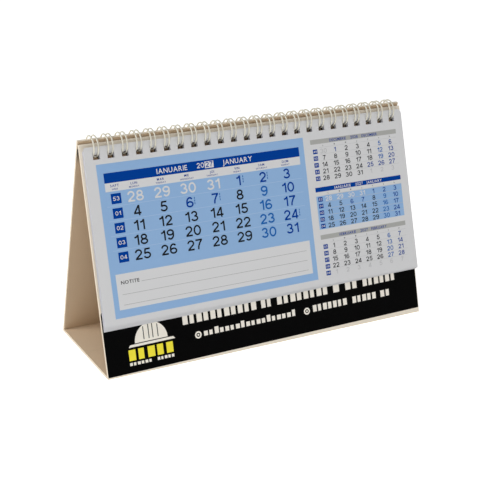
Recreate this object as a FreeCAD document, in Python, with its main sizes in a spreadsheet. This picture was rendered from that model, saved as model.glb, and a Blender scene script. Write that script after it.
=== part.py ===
"""Flip desk calendar: a creased board tent, a twin-loop wire binding and twelve month sheets.

Frame: +X along the wire, the month side faces -Y, +Z up, millimetres.
The origin is on the table, under the middle of the tent's footprint.
Every board and sheet is drawn flat, with its row of punched holes on its own X axis,
and is then stood up at its tilt.
"""
import os
from math import acos, atan2, cos, degrees, hypot, radians, sin, sqrt, tan

import FreeCAD
import Part
import Sketcher

Vector = FreeCAD.Vector

MONTHS = ("january", "february", "march", "april", "may", "june", "july",
          "august", "september", "october", "november", "december")

# alias, value, what it is (millimetres and degrees)
DRIVING_SIZES = (
    ("board_width", 210.0, "width of the tent along the wire"),
    ("board_thick", 1.6, "thickness of the creased board"),
    ("base_depth", 71.0, "front crease to rear crease, on the table"),
    ("front_height", 130.0, "front board, crease to top edge, along its slope"),
    ("front_tilt", 16.4, "lean of the front board from upright"),
    ("back_rise", 1.9, "back board's top edge above the front board's top edge"),
    ("top_gap", 0.4, "front board's top edge to the back board's inner face"),
    ("crease_gap", 0.15, "distance of a crease line from the two faces that close on it"),
    ("mid_gap", 0.15, "open line along the floor's middle crease"),
    ("hole_pitch", 8.4, "hole to hole, close to three to the inch"),
    ("hole_count", 24, "holes in a row"),
    ("hole_size", 4.0, "side of a square hole"),
    ("row_shift", 0.0, "middle of the hole row, to the right of the board's middle"),
    ("edge_margin", 5.4, "front board's top edge to its holes"),
    ("loop_outer", 12.7, "outside diameter of the wire loops"),
    ("wire_thick", 0.9, "diameter of the wire"),
    ("twin_spacing", 2.6, "the two wires of one loop, centre to centre"),
    ("seam_angle", 10.0, "middle of the closing seam, above level, behind the back board"),
    ("seam_gap", 0.4, "clear gap between a loop's tip and the seam wire"),
    ("sheet_height", 98.9, "one month sheet, top edge to bottom edge"),
    ("sheet_inset", 0.8, "board's side edge to the sheet's side edge"),
    ("sheet_margin", 3.0, "sheet's top edge to its holes"),
    ("sheet_thick", 0.1, "thickness of one sheet"),
    ("sheet_pitch", 0.18, "sheet to sheet, at the holes"),
    ("sheet_gap", 0.15, "board's outer face to the first sheet"),
    ("sheet_fan", 0.06, "extra lean of each sheet, counted from the board"),
    ("hang_gap", 0.1, "wire to the hole edge that hangs on it"),
)


def make_sheet(doc):
    """Put the driving sizes in the spreadsheet and return it with its values."""
    cells = doc.addObject("Spreadsheet::Sheet", "sizes")
    for row, (alias, value, note) in enumerate(DRIVING_SIZES, start=1):
        cells.set(f"A{row}", alias)
        cells.set(f"B{row}", str(value))
        cells.set(f"C{row}", note)
        cells.setAlias(f"B{row}", alias)
    doc.recompute()
    return cells, {alias: float(cells.get(alias)) for alias, _, _ in DRIVING_SIZES}


class Slope:
    """A leaning plane seen from the side: a point (y, z) on it and the direction up along it."""

    def __init__(self, point, lean, towards):
        # towards is +1 for a plane that leans back (+Y) and -1 for one that leans forward
        self.lean = lean
        self.towards = towards
        self.point = point
        self.up = (towards * sin(radians(lean)), cos(radians(lean)))
        self.out = (-towards * cos(radians(lean)), sin(radians(lean)))

    def at(self, along, outward=0.0):
        """The point (y, z) that lies so far up the slope and so far out of it."""
        return (self.point[0] + along * self.up[0] + outward * self.out[0],
                self.point[1] + along * self.up[1] + outward * self.out[1])

    def shifted(self, along, outward, more_lean=0.0):
        """A plane through another point of this one, leaning a little more."""
        return Slope(self.at(along, outward), self.lean + more_lean, self.towards)

    def crosses(self, centre, radius):
        """How far up the slope it first crosses a circle, and the sine of the crossing angle."""
        dy = self.point[0] - centre[0]
        dz = self.point[1] - centre[1]
        half = dy * self.up[0] + dz * self.up[1]
        along = -half - sqrt(half * half - (dy * dy + dz * dz - radius * radius))
        y, z = self.at(along)
        radial = ((y - centre[0]) / radius, (z - centre[1]) / radius)
        return along, abs(self.up[0] * radial[0] + self.up[1] * radial[1])


def back_lean(v):
    """The back board's lean, so that its inner face just clears the front board's top edge."""
    front = Slope((-v["base_depth"] / 2, 0.0), v["front_tilt"], 1)
    y, z = front.at(v["front_height"], -v["board_thick"])
    reach = v["base_depth"] / 2 - y
    clear = v["board_thick"] + v["top_gap"]
    return degrees(acos(clear / hypot(reach, z)) - atan2(z, reach))


def layout(v):
    """Work out the side view: planes, hole rows, loop centre and crease lines."""
    half_depth = v["base_depth"] / 2
    half_hole = v["hole_size"] / 2
    thick = v["board_thick"]
    front = Slope((-half_depth, 0.0), v["front_tilt"], 1)
    back = Slope((half_depth, 0.0), back_lean(v), -1)
    loop_radius = (v["loop_outer"] - v["wire_thick"]) / 2
    front_row = v["front_height"] - v["edge_margin"] - half_hole
    # the loop stands over the middle of the two boards and passes through the front hole's centre
    hole_y, hole_z = front.at(front_row, -thick / 2)
    back_y = half_depth - hole_z * tan(radians(back.lean)) - thick / 2 / cos(radians(back.lean))
    centre_y = (hole_y + back_y) / 2
    centre = (centre_y, hole_z + sqrt(loop_radius ** 2 - (hole_y - centre_y) ** 2))
    back_row, _ = back.shifted(0.0, -thick / 2).crosses(centre, loop_radius)
    back_top = front.at(v["front_height"])[1] + v["back_rise"]
    # a crease line lies just inside the corner between a board and the floor
    inset = thick + v["crease_gap"]
    front_crease = front.shifted(0.0, -inset).at(inset * (1 + sin(radians(front.lean)))
                                                 / cos(radians(front.lean)))
    back_crease = back.shifted(0.0, -inset).at(inset * (1 + sin(radians(back.lean)))
                                               / cos(radians(back.lean)))
    return {"front": front, "back": back, "front_row": front_row, "back_row": back_row,
            "back_height": back_top / cos(radians(back.lean)),
            "loop_centre": centre, "loop_radius": loop_radius,
            "front_crease": front_crease, "back_crease": back_crease}


def sheet_planes(v, plan, number):
    """Inner face of one month sheet on the front, and of the same sheet turned to the back."""
    count = len(MONTHS)
    under = count - 1 - number
    on_front = plan["front"].shifted(plan["front_row"], v["sheet_gap"] + under * v["sheet_pitch"],
                                     v["sheet_fan"] * (under + 1))
    on_back = plan["back"].shifted(plan["back_row"], v["sheet_gap"] + number * v["sheet_pitch"],
                                   v["sheet_fan"] * (number + 1))
    return on_front, on_back


def sheet_row(v, plan, plane):
    """Where the sheet's hole row lies along its plane, when its holes hang on the wire."""
    middle = plane.shifted(0.0, v["sheet_thick"] / 2)
    along, steepness = middle.crosses(plan["loop_centre"], plan["loop_radius"])
    hang = v["wire_thick"] / 2 / steepness + v["hang_gap"]
    return along + hang - v["hole_size"] / 2


def turning_axis(v, plan, number):
    """The line (y, z) about which one sheet turns, its holes on the wire in front and behind."""
    planes = sheet_planes(v, plan, number)
    start, end = (plane.at(sheet_row(v, plan, plane), v["sheet_thick"] / 2) for plane in planes)
    half_turn = radians(planes[0].lean + planes[1].lean) / 2
    reach = 1 / (2 * tan(half_turn))
    return ((start[0] + end[0]) / 2 - (end[1] - start[1]) * reach,
            (start[1] + end[1]) / 2 + (end[0] - start[0]) * reach)


def origin_plane(body, role):
    return next(f for f in body.Origin.OriginFeatures if f.Role == role)


def rectangle(body, name, sizes):
    """A sketched rectangle on the body's XY plane; sizes are expressions for its four edges."""
    sketch = body.newObject("Sketcher::SketchObject", name)
    sketch.AttachmentSupport = [(origin_plane(body, "XY_Plane"), "")]
    sketch.MapMode = "FlatFace"
    corners = [Vector(-20, -10), Vector(20, -10), Vector(20, 10), Vector(-20, 10)]
    for start, end in zip(corners, corners[1:] + corners[:1]):
        sketch.addGeometry(Part.LineSegment(start, end), False)
    for side in range(4):
        sketch.addConstraint(Sketcher.Constraint("Coincident", side, 2, (side + 1) % 4, 1))
        flat = "Horizontal" if side % 2 == 0 else "Vertical"
        sketch.addConstraint(Sketcher.Constraint(flat, side))
    # lengths are measured inside the sketch, so that none of them can turn negative
    width = sketch.addConstraint(Sketcher.Constraint("DistanceX", 0, 1, 0, 2, 40.0))
    length = sketch.addConstraint(Sketcher.Constraint("DistanceY", 1, 1, 1, 2, 20.0))
    left = sketch.addConstraint(Sketcher.Constraint("DistanceX", -1, 1, 0, 1, -20.0))
    low = sketch.addConstraint(Sketcher.Constraint("DistanceY", -1, 1, 0, 1, -10.0))
    for index, key in ((width, "width"), (length, "length"), (left, "left"), (low, "low")):
        sketch.renameConstraint(index, key)
        sketch.setExpression(f"Constraints.{key}", sizes[key])
    sketch.Visibility = False
    return sketch


def plate(doc, label, sizes, thick):
    """A body that is one flat plate, drawn on its XY plane and thickened along +Z."""
    body = doc.addObject("PartDesign::Body", label)
    body.Label = label
    outline = rectangle(body, label + "_outline", sizes)
    pad = body.newObject("PartDesign::Pad", label + "_pad")
    pad.Profile = outline
    pad.setExpression("Length", thick)
    doc.recompute()
    return body


def punch(doc, body):
    """Punch the row of square holes along the body's own X axis."""
    first = "sizes.row_shift - (sizes.hole_count - 1) * sizes.hole_pitch / 2 - sizes.hole_size / 2"
    square = rectangle(body, body.Label + "_hole", {
        "width": "sizes.hole_size", "length": "sizes.hole_size",
        "left": first, "low": "-sizes.hole_size / 2"})
    solid = body.Shape.Volume
    hole = body.newObject("PartDesign::Pocket", body.Label + "_punch")
    hole.Profile = square
    hole.Type = 1
    hole.Reversed = True
    doc.recompute()
    if not hole.Shape.Volume < solid:
        raise RuntimeError(f"the first hole of {body.Label} cuts nothing")
    row = body.newObject("PartDesign::LinearPattern", body.Label + "_row")
    row.Originals = [hole]
    row.Direction = (square, ["H_Axis"])
    row.setExpression("Length", "(sizes.hole_count - 1) * sizes.hole_pitch")
    row.setExpression("Occurrences", "sizes.hole_count")
    body.Tip = row
    doc.recompute()


def stand_up(body, place, turn):
    """Place a flat piece: its X axis stays level and its plane is turned about X by turn."""
    body.Placement = FreeCAD.Placement(Vector(0, place[0], place[1]),
                                       FreeCAD.Rotation(Vector(1, 0, 0), turn))


def make_front_panel(doc, v, plan):
    tilt = "sizes.front_tilt"
    below = (f"(sizes.front_height - sizes.edge_margin - sizes.hole_size / 2"
             f" - sizes.board_thick * tan({tilt}))")
    body = plate(doc, "front_panel", {
        "width": "sizes.board_width", "left": "-sizes.board_width / 2",
        "length": f"{below} + sizes.hole_size / 2 + sizes.edge_margin", "low": f"-{below}"},
        "sizes.board_thick")
    punch(doc, body)
    # drawn from the inner face outwards
    stand_up(body, plan["front"].at(plan["front_row"], -v["board_thick"]), 90 - plan["front"].lean)
    return body


def make_back_panel(doc, v, plan):
    foot = v["board_thick"] * tan(radians(plan["back"].lean))
    below = f"({plan['back_row'] - foot!r})"
    above = f"({plan['back_height'] - plan['back_row']!r})"
    body = plate(doc, "back_panel", {
        "width": "sizes.board_width", "left": "-sizes.board_width / 2",
        "length": f"{below} + {above}", "low": f"-{below}"},
        "sizes.board_thick")
    punch(doc, body)
    # drawn from the outer face inwards
    stand_up(body, plan["back"].at(plan["back_row"]), 90 + plan["back"].lean)
    return body


def make_floor_half(doc, label, crease, mid_side):
    """Half of the floor, from a crease line at one end to the open line in the middle."""
    length = f"({abs(crease[0])!r} - sizes.mid_gap / 2)"
    low = f"-({abs(crease[0])!r})" if mid_side < 0 else "sizes.mid_gap / 2"
    return plate(doc, label, {
        "width": "sizes.board_width", "left": "-sizes.board_width / 2",
        "length": length, "low": low}, "sizes.board_thick")


def make_month_sheet(doc, v, plan, number):
    plane, _ = sheet_planes(v, plan, number)
    below = "(sizes.sheet_height - sizes.sheet_margin - sizes.hole_size / 2)"
    body = plate(doc, MONTHS[number] + "_sheet", {
        "width": "sizes.board_width - 2 * sizes.sheet_inset",
        "left": "-(sizes.board_width / 2 - sizes.sheet_inset)",
        "length": "sizes.sheet_height", "low": f"-{below}"}, "sizes.sheet_thick")
    punch(doc, body)
    stand_up(body, plane.at(sheet_row(v, plan, plane)), 90 - plane.lean)
    return body


def wire_loop(v, plan, at_x, first, last):
    """One twin loop with its tip and half of the seam wire on each side, as one solid."""
    radius = plan["loop_radius"]
    wire = v["wire_thick"] / 2
    centre = Vector(0, *plan["loop_centre"])
    half_seam = (wire + v["seam_gap"] / 2) / radius
    root_angle = radians(v["seam_angle"]) + half_seam
    tip_angle = radians(v["seam_angle"]) - half_seam

    def on_loop(x, angle):
        return centre + Vector(x, radius * cos(angle), radius * sin(angle))

    def rod(start, end):
        return Part.makeCylinder(wire, (end - start).Length, start, end - start)

    pieces = []
    for side in (-1, 1):
        x = at_x + side * v["twin_spacing"] / 2
        start = on_loop(x, root_angle)
        along = Vector(0, -sin(root_angle), cos(root_angle))
        ring = Part.Face(Part.Wire(Part.makeCircle(wire, start, along)))
        sweep = 360 - degrees(root_angle - tip_angle)
        pieces.append(ring.revolve(centre + Vector(x, 0, 0), Vector(1, 0, 0), sweep))
        pieces.append(Part.makeSphere(wire, start))
        pieces.append(Part.makeSphere(wire, on_loop(x, tip_angle)))
        # half way to the next loop, or a short cut end past the last one
        cut_end = first if side < 0 else last
        reach = v["twin_spacing"] / 2 if cut_end else (v["hole_pitch"] - v["twin_spacing"]) / 2
        pieces.append(rod(start, start + Vector(side * reach, 0, 0)))
    half = v["twin_spacing"] / 2
    pieces.append(rod(on_loop(at_x - half, tip_angle), on_loop(at_x + half, tip_angle)))
    return pieces[0].fuse(pieces[1:])


def make_wire(doc, v, plan):
    """The twin-loop binding: one long wire bent into a row of double loops."""
    count = int(v["hole_count"])
    loops = []
    for number in range(count):
        at_x = v["row_shift"] + (number - (count - 1) / 2) * v["hole_pitch"]
        loops.append(wire_loop(v, plan, at_x, number == 0, number == count - 1))
    feature = doc.addObject("Part::Feature", "wire_binding")
    feature.Label = "wire_binding"
    feature.Shape = loops[0].fuse(loops[1:]).removeSplitter()
    return feature


def build():
    doc = FreeCAD.newDocument("flip_desk_calendar")
    _, v = make_sheet(doc)
    plan = layout(v)
    pieces = [
        make_front_panel(doc, v, plan),
        make_back_panel(doc, v, plan),
        make_floor_half(doc, "floor_front", plan["front_crease"], -1),
        make_floor_half(doc, "floor_rear", plan["back_crease"], 1),
        make_wire(doc, v, plan),
    ]
    for number in range(len(MONTHS)):
        pieces.append(make_month_sheet(doc, v, plan, number))
    doc.recompute()
    return doc, v, plan, pieces


def check(doc, pieces):
    """Stop before anything is written if any object failed or any piece is not one good solid."""
    for thing in doc.Objects:
        if "Invalid" in thing.State or "Error" in thing.State:
            raise RuntimeError(f"{thing.Name} did not build: {thing.State}")
    for piece in pieces:
        shape = piece.Shape
        if shape.isNull() or not shape.isValid() or len(shape.Solids) != 1:
            raise RuntimeError(f"{piece.Label} is not one valid solid")


def write(pieces):
    os.makedirs("parts", exist_ok=True)
    for piece in pieces:
        piece.Shape.exportStep(f"parts/{piece.Label}.step")
        box = piece.Shape.BoundBox
        print(f"{piece.Label:16s} y {box.YMin:8.2f} {box.YMax:8.2f}  z {box.ZMin:8.2f} {box.ZMax:8.2f}"
              f"  volume {piece.Shape.Volume:10.1f}")


document, values, side_view, all_pieces = build()
check(document, all_pieces)
write(all_pieces)
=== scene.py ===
# %% [markdown]
# A flip desk calendar
#
# The frame comes from the packed model: boards, wire and twelve month sheets, already in place.
# This notebook adds what a maker adds after cutting and punching: the board's paper wrap, the
# enamel on the wire, and the printing. Nothing in the frame is moved.

# %% Load the frame
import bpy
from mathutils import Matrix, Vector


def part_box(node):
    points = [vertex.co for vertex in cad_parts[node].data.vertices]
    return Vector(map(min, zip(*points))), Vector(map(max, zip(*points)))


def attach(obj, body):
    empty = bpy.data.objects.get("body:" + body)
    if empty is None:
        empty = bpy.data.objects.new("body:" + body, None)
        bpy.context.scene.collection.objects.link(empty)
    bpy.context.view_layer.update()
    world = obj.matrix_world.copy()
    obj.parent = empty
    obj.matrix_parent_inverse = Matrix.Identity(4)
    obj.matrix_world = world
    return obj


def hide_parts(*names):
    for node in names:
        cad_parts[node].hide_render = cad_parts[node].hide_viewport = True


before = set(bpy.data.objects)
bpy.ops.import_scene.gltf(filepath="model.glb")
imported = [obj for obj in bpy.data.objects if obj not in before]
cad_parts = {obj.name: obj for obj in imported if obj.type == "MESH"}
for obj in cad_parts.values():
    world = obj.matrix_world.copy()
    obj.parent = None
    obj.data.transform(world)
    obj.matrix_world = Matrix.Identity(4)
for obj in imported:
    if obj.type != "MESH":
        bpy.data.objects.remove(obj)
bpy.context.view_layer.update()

import calendar
from datetime import timedelta
from math import cos, pi, radians, sin

import bmesh
import bpy
from mathutils import Matrix, Vector

MM = 0.001

# %% [markdown]
# Camera
#
# The camera stands to the left of the calendar, a little above it, and looks down at it. It is
# easiest to think of it as a point to look at, a direction and a distance, so the matrix is built
# from those. A long lens keeps the far end of the calendar from shrinking too much.

# %% Camera
AIM = Vector((-0.0178, -0.0226, 0.0642))
DISTANCE = 0.678
TURN, LOOK_DOWN, ROLL = radians(-28.95), radians(21.12), radians(1.45)

away = Vector((sin(TURN) * cos(LOOK_DOWN), -cos(TURN) * cos(LOOK_DOWN), sin(LOOK_DOWN)))
level = Vector((cos(TURN), sin(TURN), 0))
upward = away.cross(level)
right = cos(ROLL) * level + sin(ROLL) * upward
top = -sin(ROLL) * level + cos(ROLL) * upward

lens = bpy.data.cameras.new("camera")
lens.lens = 89.0
lens.sensor_width = 36.0
camera = bpy.data.objects.new("camera", lens)
camera.matrix_world = Matrix.Translation(AIM + DISTANCE * away) @ Matrix(
    (right, top, away)).transposed().to_4x4()
bpy.context.collection.objects.link(camera)
bpy.context.scene.camera = camera
print("camera at", [round(c, 3) for c in camera.matrix_world.translation])

# %% [markdown]
# Shader maths that reads like maths
#
# A material is a graph of nodes, and adding nodes by hand hides the idea behind the wiring. The
# class below wraps one output socket. Its operators add Math nodes, so `1 - mask * 0.2` can be
# written as it stands. A material holder has one method, `node`, for every other kind of node.

# %% Flow: a socket with operators
class Flow:
    """The output of a node. Arithmetic on it adds Math nodes to the same tree."""

    def __init__(self, tree, socket):
        self.tree = tree
        self.socket = socket

    def _math(self, operation, first, second=0.0):
        node = self.tree.nodes.new("ShaderNodeMath")
        node.operation = operation
        for slot, value in zip(node.inputs, (first, second)):
            plug(self.tree, slot, value)
        return Flow(self.tree, node.outputs[0])

    def __add__(self, other): return self._math("ADD", self, other)
    def __radd__(self, other): return self._math("ADD", other, self)
    def __sub__(self, other): return self._math("SUBTRACT", self, other)
    def __rsub__(self, other): return self._math("SUBTRACT", other, self)
    def __mul__(self, other): return self._math("MULTIPLY", self, other)
    def __rmul__(self, other): return self._math("MULTIPLY", other, self)
    def __gt__(self, other): return self._math("GREATER_THAN", self, other)
    def __lt__(self, other): return self._math("LESS_THAN", self, other)
    def __abs__(self): return self._math("ABSOLUTE", self)


def plug(tree, slot, value):
    """Link a Flow to an input, or set the input to a plain value; a colour gets its alpha here."""
    if isinstance(value, Flow):
        tree.links.new(value.socket, slot)
    else:
        slot.default_value = (*value, 1.0) if slot.type == "RGBA" else value


print("operators:", [name for name in vars(Flow) if name.startswith("__")])

# %% [markdown]
# A finish
#
# Card, enamel, paper and ink are all the same kind of thing to a shader: a colour, a roughness
# and a fine relief, each varied a little from place to place. So one class holds a material while
# it is being mixed. It works in the object's own coordinates, because those travel with a board
# or a sheet as it turns, and a pattern fixed to the room would slide over it.

# %% Finish: a material under construction
class Finish:
    """One material: its Principled shader is made first, and its inputs are set by name."""

    def __init__(self, name):
        self.material = bpy.data.materials.new(name)
        self.material.use_nodes = True
        self.tree = self.material.node_tree
        self.shader = self.tree.nodes["Principled BSDF"]

    def node(self, kind, settings=None, output=None, **inputs):
        """Add any node: its settings first, then its inputs. Hands back the named output, or
        the first one in use. Settings come first because they decide which sockets are in use."""
        node = self.tree.nodes.new("ShaderNode" + kind)
        for key, value in (settings or {}).items():
            setattr(node, key, value)
        for key, value in inputs.items():
            wanted = key.replace("_", " ")
            plug(self.tree, next(s for s in node.inputs if s.enabled and s.name == wanted), value)
        return Flow(self.tree, next(s for s in node.outputs
                                    if s.enabled and output in (None, s.name)))

    def place(self):
        """Where a point is on the object itself, in metres: it moves with the piece."""
        return self.node("TexCoord", output="Object")

    def facing(self):
        """Which way the surface faces, in the object's own directions, as X, Y and Z."""
        normal = self.node("TexCoord", output="Normal")
        return [self.node("SeparateXYZ", output=axis, Vector=normal) for axis in "XYZ"]

    def across(self):
        """The X of a point on the object, in metres."""
        return self.node("SeparateXYZ", output="X", Vector=self.place())

    def height(self):
        """The Z of a point on the object, in metres."""
        return self.node("SeparateXYZ", output="Z", Vector=self.place())

    def noise(self, scale, detail=3.0):
        """Cloudy unevenness from 0 to 1: scale is how many clouds fit in a metre."""
        return self.node("TexNoise", Vector=self.place(), Scale=scale, Detail=detail)

    def mix(self, mask, first, second):
        """A colour between two colours or flows; a Mix node keeps the hue, a Math node would not."""
        return self.node("Mix", {"data_type": "RGBA"}, Factor=mask, A=first, B=second)

    def set(self, **inputs):
        """Set or link the shader's inputs, with _ for a space in a name."""
        for key, value in inputs.items():
            plug(self.tree, self.shader.inputs[key.replace("_", " ")], value)
        return self

    def grain(self, height, depth):
        """Surface relief: depth is how far, in metres, the height's 0 to 1 lifts the surface."""
        return self.set(Normal=self.node("Bump", Height=height, Distance=depth, Strength=1.0))


print("a finish has", [name for name in vars(Finish) if not name.startswith("_")])

# %% [markdown]
# Board
#
# The tent is one sheet of greyboard, creased and wrapped in cream paper. Outside the paper is
# pale; inside, the lining is a warmer tan, painted lighter on the floor for the light that falls
# there. Which face is which comes from the direction that the surface faces, in the board's own
# directions, so it stays right when the board folds. The cut ends show the edge of the wrap. The
# walls of the punched holes are painted dark as shade, and so is the lining behind them where the
# boards almost meet, more so towards the top of the holes. Fine fibres make the relief.

# %% Board finish
CREAM = (0.97, 0.88, 0.74)
TAN = (0.62, 0.475, 0.325)
# the same lining as TAN, painted lighter on the floor for the light that falls in at the open ends
LIT_FLOOR_TAN = (0.74, 0.58, 0.41)
CUT_EDGE = (0.72, 0.63, 0.50)
# painted shade, for the holes and the narrow gap between the boards
PAINTED_SHADE = (0.05, 0.045, 0.04)

SOIL = (0.45, 0.38, 0.29)

# the heights between which the boards are punched
holes_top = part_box("front_panel")[1].z - 3 * MM
HOLES = (holes_top - 9 * MM, holes_top)


def board_finish(name, inward):
    """inward is +1 where +Y faces the inside of the tent, -1 where -Y does, 0 for the floor."""
    finish = Finish(name)
    x, y, z = finish.facing()
    inside = (z > 0.5) if inward == 0 else (y * inward > 0.5)
    height = finish.height()
    level = (height > HOLES[0]) * (height < HOLES[1])
    # painted shade: the lining darkens upward through the punched band, where the boards almost meet
    painted_shade_ramp = inside * level * (height - HOLES[0]) * 150.0
    # painted shade in the holes: their walls do not face in or out, and stay clear of the board's
    # two ends
    shaded_hole_wall = (abs(y) < 0.5) * level * (abs(finish.across()) < 0.1)
    fibre = finish.noise(900.0, detail=4.0)
    cloud = finish.noise(28.0, detail=2.0)
    colour = finish.mix(inside, CREAM, TAN if inward else LIT_FLOOR_TAN)
    colour = finish.mix(painted_shade_ramp, colour, PAINTED_SHADE)
    colour = finish.mix(abs(x) > 0.7, colour, CUT_EDGE)
    colour = finish.mix(shaded_hole_wall, colour, PAINTED_SHADE)
    colour = finish.mix(fibre * 0.10 + cloud * 0.10, colour, SOIL)
    finish.set(Base_Color=colour, Roughness=0.62 + fibre * 0.12, Specular_IOR_Level=0.2)
    finish.grain(fibre, 0.00004)
    return finish.material


BOARDS = {"front_panel": 1, "back_panel": -1, "floor_front": 0, "floor_rear": 0}
for node, inward in BOARDS.items():
    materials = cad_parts[node].data.materials
    materials.clear()
    materials.append(board_finish(node + "_wrap", inward))
print("boards wrapped:", list(BOARDS))

# %% [markdown]
# Wire
#
# Binding wire is steel with a baked cream-white coat. The coat is smooth, so it wants a fairly
# low roughness and a clear layer, with only a trace of unevenness from the dipping.

# %% Wire finish
enamel = Finish("cream_enamel")
dip = enamel.noise(420.0)
enamel.set(Base_Color=enamel.mix(dip * 0.3, (0.74, 0.71, 0.60), (0.60, 0.57, 0.46)),
           Roughness=0.28 + dip * 0.12, Coat_Weight=0.3, Coat_Roughness=0.15)
enamel.grain(dip, 0.00001)
wire_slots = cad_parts["wire_binding"].data.materials
wire_slots.clear()
wire_slots.append(enamel.material)
print("wire:", enamel.material.name)

# %% [markdown]
# Paper
#
# Calendar paper is smooth and white with a faint tooth. The sheets show their thickness at the
# bottom of the stack, where each cut edge is painted a darker, cooler grey as shade.

# %% Paper finish
def paper_finish(name, white):
    finish = Finish(name)
    x, y, z = finish.facing()
    tooth = finish.noise(1400.0, detail=3.0)
    cloud = finish.noise(16.0, detail=2.0)
    # painted shade: the cut edges at the sides and the foot of a sheet get a darker, bluer grey
    cut = (abs(x) > 0.7) + (z < -0.7)
    colour = finish.mix(cut, white, (0.60, 0.60, 0.68))
    colour = finish.mix(tooth * 0.06 + cloud * 0.05, colour, (0.60, 0.60, 0.62))
    finish.set(Base_Color=colour, Roughness=0.48 + tooth * 0.14, Specular_IOR_Level=0.2)
    finish.grain(tooth, 0.00001)
    return finish.material


PAPER = paper_finish("calendar_paper", (0.725, 0.725, 0.73))
print("paper:", PAPER.name)

# %% [markdown]
# Inks
#
# Offset ink soaks in, so it keeps the paper's tooth and is only a little glossier. All the inks
# share one recipe and differ in colour.

# %% Inks
INK_COLOURS = {
    "pale_blue": (0.30, 0.485, 0.76),
    "deep_blue": (0.000, 0.050, 0.320),
    "mid_blue": (0.015, 0.135, 0.460),
    "grey": (0.44, 0.44, 0.42),
    "black": (0.016, 0.018, 0.022),
    "faint": (0.56, 0.56, 0.57),
    "line": (0.36, 0.36, 0.36),
    "hairline": (0.42, 0.58, 0.82),
    "white": (0.735, 0.735, 0.74),
}


def ink_finish(name, colour, fade, roughness=0.5, shine=0.08):
    """fade is how far the paper's tooth shows through the ink, from 0 to 1."""
    finish = Finish("ink_" + name)
    finish.set(Specular_IOR_Level=shine)
    tooth = finish.noise(1400.0)
    # a fifth of the way to the tone of the paper
    faded = [c + (0.75 - c) * 0.2 for c in colour]
    finish.set(Base_Color=finish.mix(tooth * fade, colour, faded),
               Roughness=roughness + tooth * 0.12)
    finish.grain(tooth, 0.00001)
    return finish.material


INKS = {}
for name, colour in INK_COLOURS.items():
    dark = max(colour) < 0.5
    INKS[name] = ink_finish(name, colour, 0.0 if dark else 0.08, shine=0.03 if dark else 0.08)
print("inks:", len(INKS))

# %% [markdown]
# Finding a sheet's own directions
#
# Printing is laid out flat, in millimetres, from the middle of the row of holes: x to the right,
# y up the sheet. To put it on a leaning sheet, we need the sheet's own directions, and the frame
# has them. The biggest face gives the direction out of the sheet. The hole row lies half way
# between the two inner levels of corners.

# %% Where a punched piece lies
class Flat:
    """A punched flat piece of the frame: its directions, its levels and its hole edges."""

    def __init__(self, node):
        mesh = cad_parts[node].data
        face = max((p for p in mesh.polygons if p.normal.y < -0.5), key=lambda p: p.area)
        self.out = face.normal.normalized()
        self.up = self.out.cross(Vector((1, 0, 0))).normalized()
        corners = [v.co for v in mesh.vertices]
        self.height = max(c.dot(self.out) for c in corners)
        self.thick = self.height - min(c.dot(self.out) for c in corners)
        levels = sorted({round(c.dot(self.up) / MM, 2) for c in corners})
        low_hole, high_hole = levels[-3], levels[-2]
        self.row = (low_hole + high_hole) / 2
        self.levels = [levels[0] - self.row, low_hole - self.row,
                       high_hole - self.row, levels[-1] - self.row]
        self.sides = sorted({round(c.x / MM, 2) for c in corners})

    def point(self, x, y, lift=0.0):
        """A place on the outer face, in metres: lift is how far it stands off the face."""
        return (Vector((x * MM, 0, 0)) + self.up * ((self.row + y) * MM)
                + self.out * (self.height + lift * MM))


flats = {}
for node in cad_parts:
    if node.endswith("_sheet") or node == "front_panel":
        flats[node] = Flat(node)
jan = flats["january_sheet"]
print("sheet levels, mm:", [round(v, 2) for v in jan.levels], "edges across:", len(jan.sides))

# %% [markdown]
# Month sheets
#
# A real sheet is a cut of coated paper with a row of punched holes. The model's sheets are
# perfectly square, but a stack that has been turned a few times hangs a little unevenly, and its
# edges fan out. Bending the sheets would break the way they turn over, so each one keeps its
# plane and its holes, and only its outline is drawn slightly off square. The grid comes from the
# edges of the model's own sheet: three rows of cells, with the cells of the holes left out.

# %% Cut the sheets
MONTHS = ["january", "february", "march", "april", "may", "june", "july", "august",
          "september", "october", "november", "december"]
HALF_SHEET = jan.sides[-1]
LEFT_RADIUS, RIGHT_RADIUS = 1.2, 2.9


def settle(order, x, y):
    """Where a corner of sheet number `order`, 0 in front, ends up within the sheet's own plane."""
    # 0 at the holes, so they stay where the wire is, and close to 1 at the sheet's foot
    down = max(0.0, -y - 3.0) / 92.0
    across = (x + HALF_SHEET) / (2 * HALF_SHEET)
    # how far the two lower corners drop, in mm, from the first sheet to the last
    left_drop, right_drop = -0.9 + 1.5 * order / 11, -0.1 - 0.2 * order / 11
    drop = left_drop * (1 - across) + right_drop * across
    if abs(x) == HALF_SHEET:
        x += 0.7 * (1 if x > 0 else -1) * (down - (0.8 if x < 0 else 0.0))
    return x, y - drop * down


def round_corner(form, corner, out, radius):
    """Bevel the short edge that runs through the sheet's thickness at one corner."""
    through = [edge for edge in corner.link_edges
               if abs((edge.other_vert(corner).co - corner.co).normalized().dot(out)) > 0.9]
    bmesh.ops.bevel(form, geom=through, offset=radius, segments=5, profile=0.5,
                    affect="EDGES", clamp_overlap=True)


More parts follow.
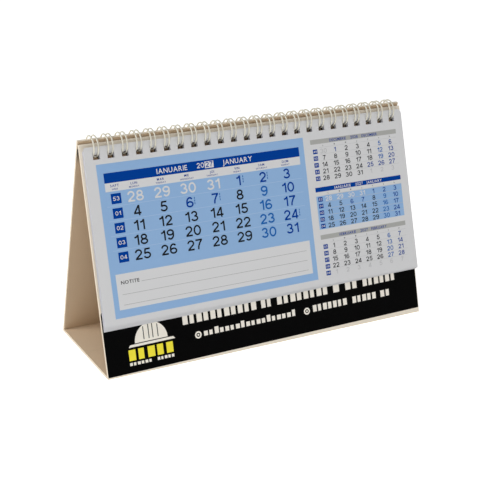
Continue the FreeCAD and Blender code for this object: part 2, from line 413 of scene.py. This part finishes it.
def cut_sheet(order, month):
    """One sheet of paper in place of the model's: a grid of cells without the holes, thickened."""
    flat = flats[month + "_sheet"]
    form = bmesh.new()
    rows = [[form.verts.new(flat.point(*settle(order, x, y))) for x in flat.sides]
            for y in flat.levels]
    for row in range(3):
        for column in range(len(flat.sides) - 1):
            if row == 1 and column % 2 == 1:
                continue
            low, high = rows[row], rows[row + 1]
            form.faces.new((low[column], low[column + 1], high[column + 1], high[column]))
    extra = bmesh.ops.extrude_face_region(form, geom=form.faces[:])["geom"]
    back = [item for item in extra if isinstance(item, bmesh.types.BMVert)]
    bmesh.ops.translate(form, verts=back, vec=-flat.out * flat.thick)
    round_corner(form, rows[3][0], flat.out, LEFT_RADIUS * MM)
    round_corner(form, rows[3][-1], flat.out, RIGHT_RADIUS * MM)
    bmesh.ops.recalc_face_normals(form, faces=form.faces[:])
    mesh = bpy.data.meshes.new(month + "_paper")
    form.to_mesh(mesh)
    form.free()
    mesh.materials.append(PAPER)
    sheet = bpy.data.objects.new(month + "_paper", mesh)
    bpy.context.collection.objects.link(sheet)
    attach(sheet, month + "_sheet")
    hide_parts(month + "_sheet")
    return sheet


sheets = [cut_sheet(order, month) for order, month in enumerate(MONTHS)]
print("sheets cut:", len(sheets), "faces each:", len(sheets[0].data.polygons))

# %% [markdown]
# Letters
#
# The figures are the main thing on a calendar, in a round and even medium weight. Text objects
# would be easy, but their built-in face has narrow figures, and a calendar has thousands of
# them. So the ten figures are drawn here as strokes, from arcs and lines in a box 1 high, and
# the letters come from the built-in face, swollen a little. Each character is made once, and its
# corners are copied wherever it is printed.

# %% Figures as strokes
STROKE = 0.165
FIGURE_WIDTH = 1.17


def arc(x, y, across, up, start, end, steps=12):
    angles = [radians(start + (end - start) * i / steps) for i in range(steps + 1)]
    return [(x + across * cos(a), y + up * sin(a)) for a in angles]


SIX = [arc(0.355, 0.30, 0.265, 0.235, 0, 360, 20), arc(0.37, 0.50, 0.28, 0.435, 42, 185)
       + [(0.09, 0.30)]]
FIGURES = {
    "0": [arc(0.35, 0.50, 0.275, 0.435, 0, 360, 24)],
    "1": [[(0.06, 0.74), (0.20, 0.77), (0.30, 0.84), (0.35, 0.96)], [(0.38, 1.0), (0.38, 0.0)]],
    "2": [arc(0.34, 0.68, 0.25, 0.255, 178, -38) + [(0.12, 0.12)], [(0.04, 0.067), (0.65, 0.067)]],
    "3": [arc(0.33, 0.715, 0.225, 0.22, 168, -90), arc(0.34, 0.285, 0.27, 0.22, 92, -168)],
    "4": [[(0.50, 0.0), (0.50, 1.0)], [(0.47, 0.95), (0.09, 0.28)], [(0.02, 0.235), (0.68, 0.235)]],
    "5": [[(0.62, 0.933), (0.15, 0.933)], [(0.19, 0.93), (0.13, 0.48)],
          arc(0.33, 0.32, 0.275, 0.255, 137, -162)],
    "6": SIX,
    "7": [[(0.04, 0.933), (0.66, 0.933)], [(0.60, 0.91), (0.42, 0.64), (0.29, 0.32), (0.25, 0.0)]],
    "8": [arc(0.35, 0.725, 0.215, 0.208, 0, 360, 20), arc(0.35, 0.285, 0.27, 0.22, 0, 360, 20)],
    "9": [[(0.70 - x, 1.0 - y) for x, y in path] for path in SIX],
}


def ribbon(path, width):
    """The two edges of a stroke that follows a path, and the faces between them."""
    closed = (Vector(path[0]) - Vector(path[-1])).length < 1e-6
    runs = [(Vector(b) - Vector(a)).normalized() for a, b in zip(path, path[1:])]
    corners = []
    for i, point in enumerate(path):
        before = runs[i - 1] if i else (runs[-1] if closed else runs[0])
        after = runs[i] if i < len(runs) else (runs[0] if closed else runs[-1])
        along = (before + after).normalized()
        across = Vector((-along.y, along.x)) * width / 2
        corners += [Vector(point) - across, Vector(point) + across]
    faces = [(2 * i, 2 * i + 2, 2 * i + 3, 2 * i + 1) for i in range(len(runs))]
    return corners, faces


def draw_figure(digit):
    """A figure's strokes, each a hair above the last so that crossings stay clean."""
    corners, faces = [], []
    for number, path in enumerate(FIGURES[digit]):
        wide = [(x * FIGURE_WIDTH, y) for x, y in path]
        edge, quads = ribbon(wide, STROKE)
        base = len(corners)
        corners += [(point.x, point.y, 0.0015 * number) for point in edge]
        faces += [tuple(base + i for i in quad) for quad in quads]
    return corners, faces, max(x for x, y, lift in corners)


print("strokes in each figure:", {digit: len(paths) for digit, paths in FIGURES.items()})

# %% [markdown]
# A drawer of characters
#
# A printer keeps type in a drawer and takes out the same piece again and again. The drawer here
# does the same: a letter is turned from a text curve into corners and faces the first time it is
# asked for, scaled so that its capital height is 1, and kept. Twelve sheets need thousands of
# characters but only about forty shapes, so this is quick and keeps every copy alike.

# %% A drawer of characters
SWELL = 0.014
CAPITAL = 0.729
drawer = {digit: draw_figure(digit) for digit in FIGURES}


def character(letter):
    """Corners and faces of one character, with its capital height scaled to 1."""
    if letter not in drawer:
        curve = bpy.data.curves.new("character", "FONT")
        curve.body = letter
        curve.resolution_u = 3
        curve.offset = SWELL
        holder = bpy.data.objects.new("character", curve)
        mesh = bpy.data.meshes.new_from_object(holder)
        left = min(v.co.x for v in mesh.vertices)
        corners = [((v.co.x - left) / CAPITAL, v.co.y / CAPITAL, 0.0) for v in mesh.vertices]
        faces = [tuple(p.vertices) for p in mesh.polygons]
        drawer[letter] = (corners, faces, max(x for x, y, lift in corners))
        bpy.data.objects.remove(holder)
        bpy.data.curves.remove(curve)
        bpy.data.meshes.remove(mesh)
    return drawer[letter]


print("width of 8:", round(character("8")[2], 3), "height of H:",
      round(max(y for x, y, lift in character("H")[0]), 3))

# %% [markdown]
# Printing plate
#
# Each sheet gets one mesh that holds all its ink, with a material slot for each colour. Blocks,
# outlines and characters are laid in millimetres, x to the right of the middle and s down from
# the line of the holes. Later layers sit a hundredth of a millimetre or so above earlier ones,
# so overprinting comes out in the right order.

# %% Plate
LAYERS = {"ground": 0.012, "block": 0.022, "rule": 0.032, "type": 0.042}


class Plate:
    """Ink for one flat piece, collected and then made into a single mesh."""

    def __init__(self, flat, start=0.1, slant=0.0):
        self.flat, self.start, self.slant = flat, start, slant
        self.corners, self.faces, self.inks = [], [], []

    def lay(self, ink, corners, faces, layer):
        """Add faces of ink; a corner is x, s and, if it stands off the layer, its lift."""
        base = len(self.corners)
        for x, s, *extra in corners:
            y = -(s + self.start) + self.slant * x
            self.corners.append(self.flat.point(x, y, LAYERS[layer] + sum(extra)))
        self.faces += [tuple(base + i for i in face) for face in faces]
        self.inks += [ink] * len(faces)

    def block(self, ink, left, top_s, right, bottom_s, layer="block"):
        """A filled rectangle."""
        self.lay(ink, [(left, bottom_s), (right, bottom_s), (right, top_s), (left, top_s)],
                 [(0, 1, 2, 3)], layer)

    def disc(self, ink, x, s, radius, layer):
        """A filled circle of 24 sides."""
        turns = [2 * pi * i / 24 for i in range(24)]
        rim = [(x + radius * cos(turn), s - radius * sin(turn)) for turn in turns]
        self.lay(ink, rim, [tuple(range(len(rim)))], layer)

    def words(self, ink, text, s, cap, centre=None, left=None, right=None, gap=0.16):
        """Text with its base line at s + cap / 2: about a centre, or stretched between sides."""
        widths = [0.35 if c == " " else character(c)[2] for c in text]
        natural = (sum(widths) + gap * (len(text) - 1)) * cap
        fit = 1.0 if centre is not None else (right - left) / natural
        x = left if centre is None else centre - natural / 2
        for c, width in zip(text, widths):
            if c != " ":
                corners, faces, _ = character(c)
                self.lay(ink, [(x + px * cap * fit, s + cap / 2 - py * cap, lift)
                               for px, py, lift in corners], faces, "type")
            x += (width + gap) * cap * fit

    def make(self, name, body):
        """Turn what was laid into one object that rides a body."""
        mesh = bpy.data.meshes.new(name)
        mesh.from_pydata(self.corners, [], self.faces)
        used = sorted(set(self.inks))
        for ink in used:
            mesh.materials.append(INKS[ink])
        for face, ink in zip(mesh.polygons, self.inks):
            face.material_index = used.index(ink)
        mesh.update()
        print_ = bpy.data.objects.new(name, mesh)
        bpy.context.collection.objects.link(print_)
        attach(print_, body)
        return print_


print("layers, mm:", LAYERS)

# %% [markdown]
# Dates
#
# Python's own calendar gives the weeks of a month, from Monday to Sunday, with the days of the
# months around it. A few fixed holidays are set in the colour of a Sunday and get a small mark.

# %% Weeks and holidays
YEAR = 2027
NAMES = ["IANUARIE", "FEBRUARIE", "MARTIE", "APRILIE", "MAI", "IUNIE", "IULIE", "AUGUST",
         "SEPTEMBRIE", "OCTOMBRIE", "NOIEMBRIE", "DECEMBRIE"]
HOLIDAYS = {(1, 1), (1, 2), (1, 6), (1, 7), (1, 24), (5, 1), (6, 1), (8, 15), (11, 30),
            (12, 1), (12, 25), (12, 26)}
WEEK = calendar.Calendar()


def weeks_of(year, month):
    """Five or six weeks of dates; a short February is filled up with the week after it."""
    rows = WEEK.monthdatescalendar(year, month)
    while len(rows) < 5:
        rows.append([day + timedelta(days=7) for day in rows[-1]])
    return rows


def day_ink(day, month, outside):
    """The ink of one date; outside is for the days of the months around."""
    if day.month != month:
        return outside
    if day.weekday() == 6 or (day.month, day.day) in HOLIDAYS:
        return "deep_blue"
    return "mid_blue" if day.weekday() == 5 else "black"


print("first week of the year:", [day.day for day in weeks_of(YEAR, 1)[0]])

# %% [markdown]
# The big month
#
# The left part of a sheet is a pale blue field with a dark title bar, a strip of weekday names,
# the days, and a box for notes. Each part is its own short function, so a month is a page of
# calls.

# %% Big month
TITLE_S, TITLE_CAP = 12.57, 2.9
WEEK_X = -88.4
COLUMNS = [-77 + 16 * i for i in range(7)]
SHORT_DAYS = ["LUN", "MAR", "MIE", "JOI", "VIN", "SAM", "DUM"]
LONG_DAYS = [name.upper() for name in calendar.day_name]


def big_month(plate, month):
    """The pale field at the left: title, weekday names, week numbers and days."""
    plate.block("pale_blue", -97.6, 4.7, 32.6, 89.5, "ground")
    plate.block("deep_blue", -94.0, 9.86, 29.1, 15.36)
    plate.words("white", NAMES[month - 1], TITLE_S, TITLE_CAP, left=-62.8, right=-44.0)
    plate.words("white", "20", TITLE_S, TITLE_CAP, left=-38.0, right=-33.4)
    plate.block("white", -33.0, 10.8, -27.4, 14.6, "rule")
    plate.words("deep_blue", "27", TITLE_S, TITLE_CAP, left=-32.5, right=-27.9)
    plate.words("white", MONTHS[month - 1].upper(), TITLE_S, TITLE_CAP, left=-21.6, right=-2.5)
    plate.block("white", -94.0, 15.36, 29.1, 20.07)
    for x, short, full in zip([WEEK_X] + COLUMNS, ["SAPT"] + SHORT_DAYS, ["WEEK"] + LONG_DAYS):
        plate.words("deep_blue", short, 17.0, 1.4, centre=x, gap=0.2)
        plate.words("deep_blue", full, 18.9, 0.9, centre=x, gap=0.2)
    rows = weeks_of(YEAR, month)
    pitch = 8.07 if len(rows) == 5 else 6.9
    size = 5.7 if len(rows) == 5 else 4.9
    for number, week in enumerate(rows):
        s = 21.3 + pitch * number + size / 2
        plate.block("deep_blue", -91.36, s - size / 2, -85.43, s + size / 2)
        plate.words("white", f"{week[0].isocalendar()[1]:02}", s, 2.2, centre=WEEK_X)
        for x, day in zip(COLUMNS, week):
            plate.words(day_ink(day, month, "white"), str(day.day), s, size, centre=x, gap=0.12)
            if day.month == month and (day.month, day.day) in HOLIDAYS:
                side = x + (2.9 if day.day < 10 else 5.6)
                for piece in range(3):
                    top_s = s - 2.6 + 1.5 * piece
                    plate.block("mid_blue", side, top_s, side + 0.5, top_s + 1.1, "type")
        if number:
            edge = s - size / 2 - (pitch - size) / 2
            plate.block("hairline", -94.2, edge - 0.12, 29.1, edge + 0.12)


def notes_box(plate):
    """A white box under the days with three lines to write on."""
    plate.block("white", -94.6, 65.36, 29.4, 85.07)
    plate.words("black", "NOTITE", 70.15, 2.0, left=-91.9, right=-81.0)
    for s, left in ((71.07, -79.9), (76.8, -91.9), (82.6, -91.9)):
        plate.block("line", left, s - 0.1, 26.6, s + 0.1, "rule")


print("weekday columns, mm:", COLUMNS)

# %% [markdown]
# The three small months
#
# At the right, the month before, the month itself and the month after stand one above another.
# The middle one has the blue field, so the eye finds it. The layout is the same for all three.

# %% Small months
SMALL_COLUMNS = [45.9 + 8.0 * i for i in range(7)]


def small_month(plate, year, month, bar_s, current):
    """One month of the right-hand column, with its title bar at bar_s."""
    bar, title, outside = ("deep_blue", "white", "white") if current else (
        "grey", "deep_blue", "faint")
    plate.block(bar, 37.36, bar_s, 98.93, bar_s + 2.7)
    if current:
        plate.block("pale_blue", 37.36, bar_s + 5.2, 98.93, bar_s + 25.0, "ground")
    for text, left, right in ((NAMES[month - 1], 50.7, 62.4), (str(year), 65.6, 71.0),
                              (MONTHS[month - 1].upper(), 73.6, 84.9)):
        plate.words(title, text, bar_s + 1.35, 1.7, left=left, right=right)
    for x, day in zip(SMALL_COLUMNS, SHORT_DAYS):
        plate.words("black", day[0], bar_s + 3.9, 0.8, centre=x)
    rows = weeks_of(year, month)
    pitch, size = (4.0, 2.7) if len(rows) == 5 else (3.4, 2.4)
    for number, week in enumerate(rows):
        s = bar_s + 7.15 + pitch * number - (0.3 if len(rows) == 6 else 0)
        plate.block("deep_blue", 38.57, s - size / 2, 41.64, s + size / 2)
        plate.words("white", f"{week[0].isocalendar()[1]:02}", s, 1.3, centre=40.1)
        for x, day in zip(SMALL_COLUMNS, week):
            plate.words(day_ink(day, month, outside), str(day.day), s, size, centre=x, gap=0.12)
        edge = s - pitch / 2 - 0.2
        plate.block("faint", 43.1, edge - 0.07, 98.8, edge + 0.07)


print("small columns, mm:", [round(x, 1) for x in SMALL_COLUMNS])

# %% [markdown]
# Printing
#
# A calendar of this kind is printed four or more sheets at a time and then cut, so all twelve
# carry one layout with other dates in it. The loop below does the same. The ink of a sheet is one
# piece that rides the sheet, so it turns over with it.

# %% Print the twelve sheets
for order, month in enumerate(MONTHS):
    plate = Plate(flats[month + "_sheet"])
    big_month(plate, order + 1)
    notes_box(plate)
    for place, shift in enumerate((-1, 0, 1)):
        count = order + shift
        small_month(plate, YEAR + count // 12, count % 12 + 1, 6.86 + 28.37 * place, shift == 0)
    inked = plate.make(month + "_ink", month + "_sheet")
print("faces of ink on the last sheet:", len(inked.data.polygons))

# %% [markdown]
# Printed band
#
# The lower part of the front board carries a black band with an advertiser's print. Everything
# that would name someone is replaced here: rows of plain letter-sized blocks stand for the
# words, rings for the icons, and a work helmet for the picture. Real print is never quite square
# to the board, so the plate has a slight slant.

# %% Band on the board
BAND_INKS = {"band_black": (0.0008, 0.0008, 0.0008), "band_cream": (0.95, 0.90, 0.80),
             "band_yellow": (0.98, 0.85, 0.06)}
INKS.update({name: ink_finish(name, colour, 0.02, 0.55, 0.02)
             for name, colour in BAND_INKS.items()})

board = flats["front_panel"]
band = Plate(board, start=0.7 - board.levels[3], slant=0.0095)


def letter_blocks(ink, left, right, low_s, cap, pitch, heights=(1.0,)):
    """A word as a row of plain blocks, each about as wide as a letter's black."""
    count = max(1, round((right - left) / pitch))
    step = (right - left) / count
    for i in range(count):
        x = left + step * i
        wide = step * (0.72, 0.60, 0.76, 0.66)[i % 4]
        tall = cap * heights[i % len(heights)]
        band.block(ink, x, low_s - tall, x + wide, low_s, "type")


corner = [(-102.9 - 2.0 * cos(i * pi / 16), 92.0 - 2.0 * sin(i * pi / 16)) for i in range(9)]
outline = [(-104.9, 126.95), (104.8, 126.95), (104.8, 90.0)] + corner[::-1]
band.lay("band_black", outline, [tuple(range(len(outline)))], "ground")
for left, right in ((-56.9, -8.1), (-5.9, 2.1), (4.9, 41.3), (44.0, 49.8), (52.7, 62.9),
                    (65.4, 90.4)):
    letter_blocks("band_cream", left, right, 106.55, 5.3, 4.4)
letter_blocks("band_cream", -44.5, 17.5, 115.2, 3.9, 3.5, (0.7, 0.7, 1.0, 0.7, 0.7))
for left, right in ((28.6, 53.6), (56.9, 75.0), (77.5, 85.4)):
    letter_blocks("band_cream", left, right, 115.4, 4.0, 3.6)
letter_blocks("band_yellow", -91.4, -62.8, 120.2, 6.1, 5.7)
for left, right in ((-91.4, -77.4), (-74.6, -63.7)):
    letter_blocks("band_cream", left, right, 123.0, 1.7, 2.3)
for x, s in ((-48.1, 113.9), (24.3, 114.1)):
    band.disc("band_cream", x, s, 2.1, "block")
    band.disc("band_black", x, s, 1.2, "rule")
    band.disc("band_cream", x, s, 0.6, "type")
print("band corners so far:", len(band.corners))

# %% [markdown]
# A small picture
#
# The band has a little picture at its left end. A plain work helmet takes its place: a half disc
# for the dome, a flat bar for the brim and four dark ribs whose height follows the circle.

# %% A helmet in place of the picture
DOME_X, BRIM_S = -77.0, 110.9
dome = [(DOME_X + 10.0 * cos(i * pi / 24), BRIM_S - 10.4 * sin(i * pi / 24)) for i in range(25)]
band.lay("band_cream", dome, [tuple(range(25))], "block")
brim = [(-91.0, BRIM_S + 1.9), (-62.5, BRIM_S + 1.9), (-63.6, BRIM_S + 0.5), (-90.0, BRIM_S + 0.5)]
band.lay("band_cream", brim, [(0, 1, 2, 3)], "block")
for x in (-81.3, -78.2, -75.8, -72.7):
    rise = 9.4 * (1 - ((x - DOME_X) / 10.0) ** 2) ** 0.5
    band.block("band_black", x - 0.25, BRIM_S - rise, x + 0.25, BRIM_S - 1.2, "rule")
band_print = band.make("band_ink", "front_panel")
print("band faces:", len(band_print.data.polygons))

# %% [markdown]
# Studio
#
# A product shot like this is made on a lit white sweep: the floor is so bright that its shadow
# all but disappears. A plain white floor with a little light of its own gives that. A pale sky
# fills in from all round, and one large soft light from above the left front gives the paper
# its gentle falloff.

# %% Floor and light
floor_finish = Finish("studio_floor")
speck = floor_finish.noise(6.0, detail=1.0)
floor_finish.set(Base_Color=floor_finish.mix(speck, (0.82, 0.82, 0.82), (0.84, 0.84, 0.84)),
                 Roughness=0.9, Emission_Color=(1.0, 1.0, 1.0), Emission_Strength=0.72)
sweep = bpy.data.meshes.new("floor")
sweep.from_pydata([(-6, -6, 0), (6, -6, 0), (6, 6, 0), (-6, 6, 0)], [], [(0, 1, 2, 3)])
sweep.materials.append(floor_finish.material)
floor = bpy.data.objects.new("floor", sweep)
bpy.context.collection.objects.link(floor)

sky = bpy.data.worlds.new("sky")
sky.use_nodes = True
sky.node_tree.nodes["Background"].inputs["Color"].default_value = (1.0, 1.0, 1.0, 1.0)
sky.node_tree.nodes["Background"].inputs["Strength"].default_value = 0.34
bpy.context.scene.world = sky


def soft_light(name, place, aim, size, power):
    """A round area light at a place, turned to its aim, in metres and watts."""
    lamp = bpy.data.lights.new(name, "AREA")
    lamp.shape = "DISK"
    lamp.size = size
    lamp.energy = power
    light = bpy.data.objects.new(name, lamp)
    light.location = place
    light.rotation_euler = (Vector(aim) - Vector(place)).to_track_quat("-Z", "Y").to_euler()
    bpy.context.collection.objects.link(light)


soft_light("key", (-0.7, -1.1, 1.5), (0, 0, 0.06), 1.1, 4.6)
soft_light("fill", (1.3, -0.5, 1.0), (0, 0, 0.06), 1.2, 1.35)
soft_light("side", (-1.1, 0.15, 0.7), (-0.08, 0.0, 0.0), 0.6, 6.6)
bpy.context.scene.view_settings.view_transform = "Standard"
